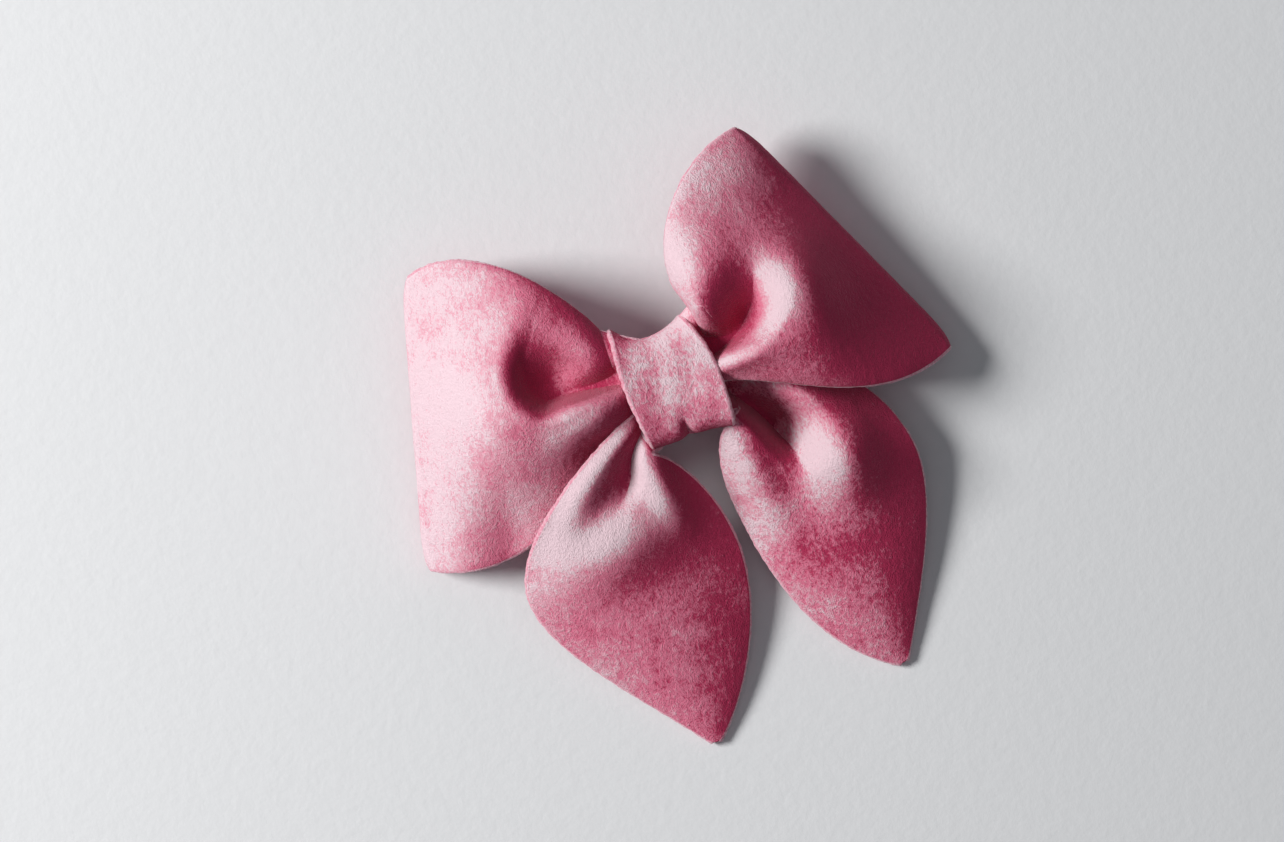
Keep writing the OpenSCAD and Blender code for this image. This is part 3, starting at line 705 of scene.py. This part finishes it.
def loop_frost_and_painted_light(x, y, z):
    """Pale patches on the loops' face, partly real frosting of the pile and partly painted highlight
    where the face turns from the light, and painted shade in a crease and deep inside the hollows,
    darker the deeper they are. The back layer has neither."""
    face = ease(0.5, 2.2, z - back_height(x, y))
    # Painted shade: the loops' hollows are darker the deeper they are.
    deep = np.where(x < 0, 0.34 * ease(1.5, 8.5, left_loop_hollow(x, y)),
                    0.80 * ease(2.0, 8.5, right_loop_hollow(x, y)))
    brushed_and_painted_light = swell(x, y, (-46, 8), (11, 14), 0.10) + swell(x, y, (29.5, 8), (6, 7.5), 0.30) \
        + swell(x, y, (11, 22), (5, 9), 0.14) + swell(x, y, (27, 33), (9, 11), 0.56) \
        + swell(x, y, (-17, -1.2), (12, 3.6), 0.46, 6) + swell(x, y, (-40, -11), (10, 7), 0.26) \
        + swell(x, y, (-27, -8), (9, 6), 0.34, 30) - swell(x, y, (-15, 3.8), (8, 1.4), 0.30, 3) \
        - swell(x, y, (42, -4), (9, 14), 0.06) - deep
    return brushed_and_painted_light * face


def make_tails():
    """The tail panel: one strip of velvet from tip to tip, its pile up."""
    out = np.concatenate([np.linspace(0, 1, 25)[1:], 1 + np.linspace(0, 2, 221)[1:]])
    columns = 118
    left = tail_rows(-1, LEFT_TAIL, out[::-1], columns)
    middle = tail_rows(1, RIGHT_TAIL, np.array([0.0]), columns)
    right = tail_rows(1, RIGHT_TAIL, out, columns)
    rows = np.concatenate([left, middle, right])
    thick = pleated(np.concatenate([out[::-1], [0], out]) * NECK)
    return cut_sheet("bow_tails", rows, thick, False, 23, cloth,
                     crush=tail_crush, frost_and_painted_light=tail_frost_and_painted_light)


def make_wrap():
    """The centre wrap: a band of velvet carried round the gathered neck and under the base plate. Each
    place across it is its own rounded loop, a super-ellipse, that is longest and tallest at the two
    edges, and its edges bow and lean with the height up the bow. Tug lines ripple its face, its
    lower fold has a notch, and it narrows where it passes beneath the base plate."""
    turns = np.linspace(0, 1, 361)[:-1] * 2 * math.pi
    a, v = np.meshgrid(turns, np.linspace(-1, 1, 72), indexing="ij")
    c, s = np.cos(a), np.sin(a)
    front = ease(-0.35, 0.35, s)
    square = 3.1      # the super-ellipse's power: 2 is round, and more is squarer
    r = (np.abs(c) ** square + np.abs(s) ** square) ** (-1 / square)
    left, right = clamp(-v), clamp(v)
    top_y = WRAP_HIGH[1] - 2.7 + 4.4 * left**2 + 1.6 * right**2
    low_y = WRAP_LOW[1] + 1.0 + 0.5 * left**2 - 1.4 * right**2
    under = (1 - front) * 4.6 * clamp(-s * r) ** 1.2
    y = (top_y + low_y) / 2 + (top_y - low_y) / 2 * c * r
    y = y * (1 - under / np.maximum(np.abs(y), 6) * (np.abs(y) > 0))
    high, low = WRAP_HIGH[2] - WRAP_THICK / 2, WRAP_LOW[2] + WRAP_THICK / 2
    z = (high + low) / 2 + (high - low) / 2 * s * r
    z = z - front * (0.9 * (1 - v * v) * clamp(s * r) + 0.25 * left)
    tug = 0.16 * np.sin(3.4 * v + 0.22 * y) + 0.07 * np.sin(8.0 * v - 0.35 * y + 1.0)
    z = z + front * tug * clamp(s * r) ** 2
    notch = swell(v * 9, y, (-0.8, -11.5), (1.3, 3.2), 1.0) * front
    y = y + 1.3 * notch
    z = z - 0.9 * notch
    middle = (y + 1.0) / 12
    left_x = -9.0 + 1.2 * clamp(middle) ** 2 + 0.9 * clamp(-middle) ** 2
    right_x = 8.6 + 0.3 * front - 2.8 * clamp(middle) ** 2 - 1.2 * clamp(-middle) ** 2
    x = (left_x + right_x) / 2 + (right_x - left_x) / 2 * v
    return cut_sheet("bow_wrap", np.stack([x, y, z], axis=-1), WRAP_THICK, True, 37, cloth, back_share=2,
                     crush=lambda x, y: 1.0 + 0 * x,
                     # The wrap's frost mark: paler all over, and darker towards its bottom.
                     frost_and_painted_light=lambda x, y, z: 0.36 - 0.28 * ease(-2, -11, y))


# ---------------------------------------------------------------- the clip, glue and thread

def plated_steel():
    """Bright nickel plate: faint clouding and fine scratches along the clip."""
    f = Finish("nickel_plate")
    cloud = f.noise(260, detail=3, rough=0.6)
    scratch = f.noise(2400, detail=2, rough=0.6, squeeze=(0.05, 1, 1), distort=0.2)
    f.set(Base_Color=f.blend(cloud, (0.70, 0.69, 0.67), (0.83, 0.82, 0.80)), Metallic=1.0,
          Roughness=0.16 + cloud * 0.14 + scratch * 0.10, Normal=f.relief(scratch, 0.00003, 0.35))
    return f.material


def sprung_steel():
    """Brushed spring steel: a tight grain along the leaf and a faint heat tint."""
    f = Finish("brushed_spring_steel")
    grain = f.noise(3200, detail=3, rough=0.7, squeeze=(0.03, 1, 1))
    tint = f.noise(140, detail=2, rough=0.5)
    f.set(Base_Color=f.blend(tint, (0.52, 0.52, 0.54), (0.66, 0.64, 0.61)), Metallic=1.0,
          Roughness=0.26 + grain * 0.24, Normal=f.relief(grain, 0.00004, 0.5))
    return f.material


def melted_glue():
    """Hot-melt glue: milky amber, glossy, with small trapped bubbles."""
    f = Finish("hot_melt_glue")
    bubbles = f.node("ShaderNodeTexVoronoi", {}, Vector=f.place, Scale=1300.0, output="Distance")
    cloud = f.noise(600, detail=2)
    f.set(Base_Color=f.blend(cloud, (0.78, 0.70, 0.55), (0.90, 0.86, 0.76)), Roughness=0.22 + cloud * 0.12,
          Coat_Weight=0.4, Normal=f.relief(bubbles, 0.0001, 0.4))
    return f.material


def twisted_thread():
    """Rose polyester thread: slanting plies."""
    f = Finish("twisted_thread")
    plies = f.node("ShaderNodeTexWave", {"wave_type": "BANDS", "bands_direction": "DIAGONAL"},
                   f.place, Scale=1500.0, Distortion=0.6)
    f.set(Base_Color=f.blend(plies, (0.42, 0.07, 0.15), (0.74, 0.26, 0.36)), Roughness=0.6,
          Sheen_Weight=0.3, Normal=f.relief(plies, 0.0001, 0.8))
    return f.material


plate, spring, glue, thread = plated_steel(), sprung_steel(), melted_glue(), twisted_thread()
FINISHES = {"clip_base": plate, "hinge_pin": plate, "clasp_arm": plate, "latch_foot": plate,
            "latch_rivets": plate, "prong_upper": spring, "prong_lower": spring, "tension_leaf": spring,
            "glue_pads": glue, "wrap_glue": glue, "gather_thread": thread}
for node, finish in FINISHES.items():
    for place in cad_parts[node].material_slots:
        place.material = finish


# ---------------------------------------------------------------- the bow's pieces

loops = make_loops()
tails = make_tails()
wrap = make_wrap()
for piece, node in ((loops, "loop_band"), (tails, "tail_panel"), (wrap, "centre_wrap")):
    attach(piece, "bow")
    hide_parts(node)


# ---------------------------------------------------------------- floor, light and camera

VIEW_WIDTH = 256.8 * MM                # width of what the camera sees, at the height of its aim
AIM = Vector((-8.54 * MM, -5.28 * MM, FLOOR * MM + 0.006))
ACROSS = Vector((0.9205, -0.3907, 0))  # the view's right and up: the bow lies turned beneath it
UPWARD = Vector((0.3907, 0.9205, 0))
CAMERA_HEIGHT = 0.9
FLOOR_HALF = 2                         # half the floor's side, in metres
FLOOR_CELLS = 40
FLOOR_GAP = 0.0001                     # clearance between the floor and the lowest point


def make_floor():
    """A wide sheet of pale paper board with a faint tooth."""
    n = FLOOR_CELLS + 1
    u = np.linspace(-FLOOR_HALF, FLOOR_HALF, n)
    x, y = np.meshgrid(u, u, indexing="ij")
    z = np.full_like(x, FLOOR * MM - FLOOR_GAP)
    i, j = np.meshgrid(np.arange(n - 1), np.arange(n - 1), indexing="ij")
    quads = np.stack([i * n + j, (i + 1) * n + j, (i + 1) * n + j + 1, i * n + j + 1], axis=-1)
    f = Finish("paper_board")
    tooth = f.noise(450, detail=4, rough=0.6)
    f.set(Base_Color=f.blend(tooth, (0.78, 0.79, 0.805), (0.82, 0.83, 0.845)), Roughness=0.8,
          Normal=f.relief(tooth, 0.0004, 0.25))
    floor = new_piece("floor", np.stack([x, y, z], axis=-1).reshape(-1, 3) / MM,
                      [quads.reshape(-1, 4)], [f.material], [np.zeros((n - 1) ** 2)])


def make_camera():
    """A camera straight above the aim, its focal length set by the width it has to see."""
    lens = bpy.data.cameras.new("camera")
    lens.sensor_width = 36
    lens.lens = CAMERA_HEIGHT * lens.sensor_width / VIEW_WIDTH
    eye = bpy.data.objects.new("camera", lens)
    turn = Matrix((ACROSS, UPWARD, Vector((0, 0, 1)))).transposed().to_4x4()
    eye.matrix_world = Matrix.Translation(AIM + Vector((0, 0, CAMERA_HEIGHT))) @ turn
    bpy.context.scene.collection.objects.link(eye)
    bpy.context.scene.camera = eye


def make_light(name, power, size, across, upward, height, colour):
    """A round soft light that faces the aim, placed by its distances across, up and above it."""
    lamp = bpy.data.lights.new(name, "AREA")
    lamp.energy, lamp.shape, lamp.size, lamp.color = power, "DISK", size, colour
    lamp_object = bpy.data.objects.new(name, lamp)
    place = AIM + ACROSS * across + UPWARD * upward + Vector((0, 0, height))
    lamp_object.location = place
    lamp_object.rotation_euler = (AIM - place).to_track_quat("-Z", "Y").to_euler()
    bpy.context.scene.collection.objects.link(lamp_object)


make_floor()
make_camera()
make_light("window_light", 17.0, 0.50, -0.95, 0.13, 0.78, (1.0, 0.99, 0.98))
make_light("ceiling_bounce", 1.2, 1.4, 0.1, 0.1, 1.5, (0.95, 0.97, 1.0))
world = bpy.data.worlds.new("studio")
world.use_nodes = True
world.node_tree.nodes["Background"].inputs["Color"].default_value = (0.80, 0.84, 0.90, 1)
world.node_tree.nodes["Background"].inputs["Strength"].default_value = 0.14
bpy.context.scene.world = world
bpy.context.scene.view_settings.view_transform = "Standard"
